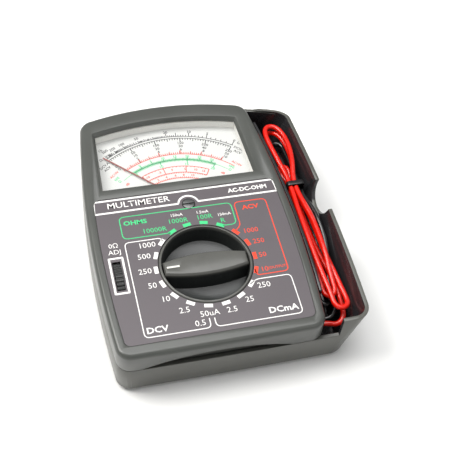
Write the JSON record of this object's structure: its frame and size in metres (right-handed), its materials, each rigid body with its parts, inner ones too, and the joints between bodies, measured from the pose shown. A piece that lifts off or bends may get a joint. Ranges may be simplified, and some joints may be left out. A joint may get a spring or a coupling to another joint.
{
  "type": "analog multimeter",
  "caption": "Pocket multimeter with a moving-coil needle and a recessed range knob, resting in a tray whose side bay stores its red and black probe leads.",
  "frame": {"origin": "middle of the tray's outline, on the surface it lies on", "axes": "+Y towards the window end, +Z out of the dial face, +X towards the lead bay"},
  "size_m": [0.1206, 0.148, 0.0325],
  "materials": {
    "shell_grey": "fine satin",
    "label_print": "printed satin",
    "clear_lens": "clear",
    "cover_grey": "satin",
    "dial_white": "matt",
    "steel": "bright",
    "magnet": "cast",
    "brass": "bright",
    "coil_copper": "enamelled wire",
    "needle_red": "matt",
    "knob_black": "gloss",
    "inlay_white": "painted",
    "inner_plastic": "moulded",
    "wheel_black": "knurled",
    "board": "laminate",
    "component": "lacquered",
    "fuse_glass": "glass and nickel",
    "battery_jacket": "printed sleeve",
    "grommet_rubber": "moulded",
    "probe_red": "gloss",
    "probe_black": "gloss",
    "lead_red": "gloss",
    "lead_black": "gloss",
    "tie_black": "gloss"
  },
  "bodies": {
    "tray": {"tray_shell": "shell_grey", "red_probe": "probe_red", "red_probe_pin": "steel", "black_probe": "probe_black", "black_probe_pin": "steel", "red_lead_hank": "lead_red", "red_lead_exit": "lead_red", "red_lead_end": "lead_red", "black_lead_hank": "lead_black", "black_lead_exit": "lead_black", "black_lead_end": "lead_black", "wire_tie": "tie_black"},
    "meter": {"front_shell": "shell_grey", "rear_shell": "shell_grey", "battery_cover": "shell_grey", "label_plate": "label_print", "window_lens": "clear_lens", "movement_cover": "cover_grey", "scale_plate": "dial_white", "magnet_yoke": "steel", "jewel_screws": "steel", "battery_contacts": "steel", "case_screws": "steel", "core_magnet": "magnet", "upper_bridge": "brass", "lower_bridge": "brass", "core_spacers": "brass", "contact_tracks": "brass", "fuse_clips": "brass", "detent_ring": "inner_plastic", "adjuster_body": "inner_plastic", "battery_snap": "inner_plastic", "circuit_board": "board", "resistors": "component", "protection_diodes": "component", "capacitor": "component", "calibration_trimmer": "component", "fuse": "fuse_glass", "round_cells": "battery_jacket", "nine_volt_battery": "battery_jacket", "lead_grommet": "grommet_rubber"},
    "knob": {"range_knob": "knob_black", "knob_pointer": "inlay_white", "selector_shaft": "inner_plastic", "wiper_carrier": "inner_plastic", "detent_balls": "steel", "detent_springs": "steel", "wipers": "brass", "shaft_clip": "steel"},
    "adjust_wheel": {"adjust_wheel": "wheel_black", "adjuster_shaft": "inner_plastic"},
    "pointer": {"needle": "needle_red", "moving_coil": "coil_copper", "pivot_staff": "steel", "balance_weights": "brass", "hairspring": "steel"},
    "zero_screw": {"zero_screw": "steel"},
    "zero_arm": {"zero_arm": "steel"}
  },
  "joints": [
    {"name": "meter_lift", "type": "slide", "parent": "tray", "child": "meter", "axis": [0, 0, 1], "range_m": [0, 0.03]},
    {"name": "range_turn", "type": "hinge", "parent": "meter", "child": "knob", "pos_m": [-0.00895, -0.0301, 0.02], "axis": [0, 0, 1], "continuous": true},
    {"name": "ohms_adjust", "type": "hinge", "parent": "meter", "child": "adjust_wheel", "pos_m": [-0.0502, -0.0304, 0.0205], "axis": [1, 0, 0], "range_deg": [-135, 135]},
    {"name": "needle_swing", "type": "hinge", "parent": "meter", "child": "pointer", "pos_m": [-0.0095, 0.0139, 0.024], "axis": [0, 0, -1], "range_deg": [0, 92], "stiffness_Nm_per_rad": 0.00002},
    {"name": "zero_turn", "type": "hinge", "parent": "meter", "child": "zero_screw", "pos_m": [-0.0095, 0.0059, 0.03], "axis": [0, 0, 1], "range_deg": [-50, 50]},
    {"name": "zero_arm_turn", "type": "hinge", "parent": "meter", "child": "zero_arm", "pos_m": [-0.0095, 0.0139, 0.027], "axis": [0, 0, 1], "range_deg": [-6, 6]}
  ],
  "couplings": [
    {"joint": "zero_arm_turn", "follows": "zero_turn", "ratio": 0.111}
  ]
}
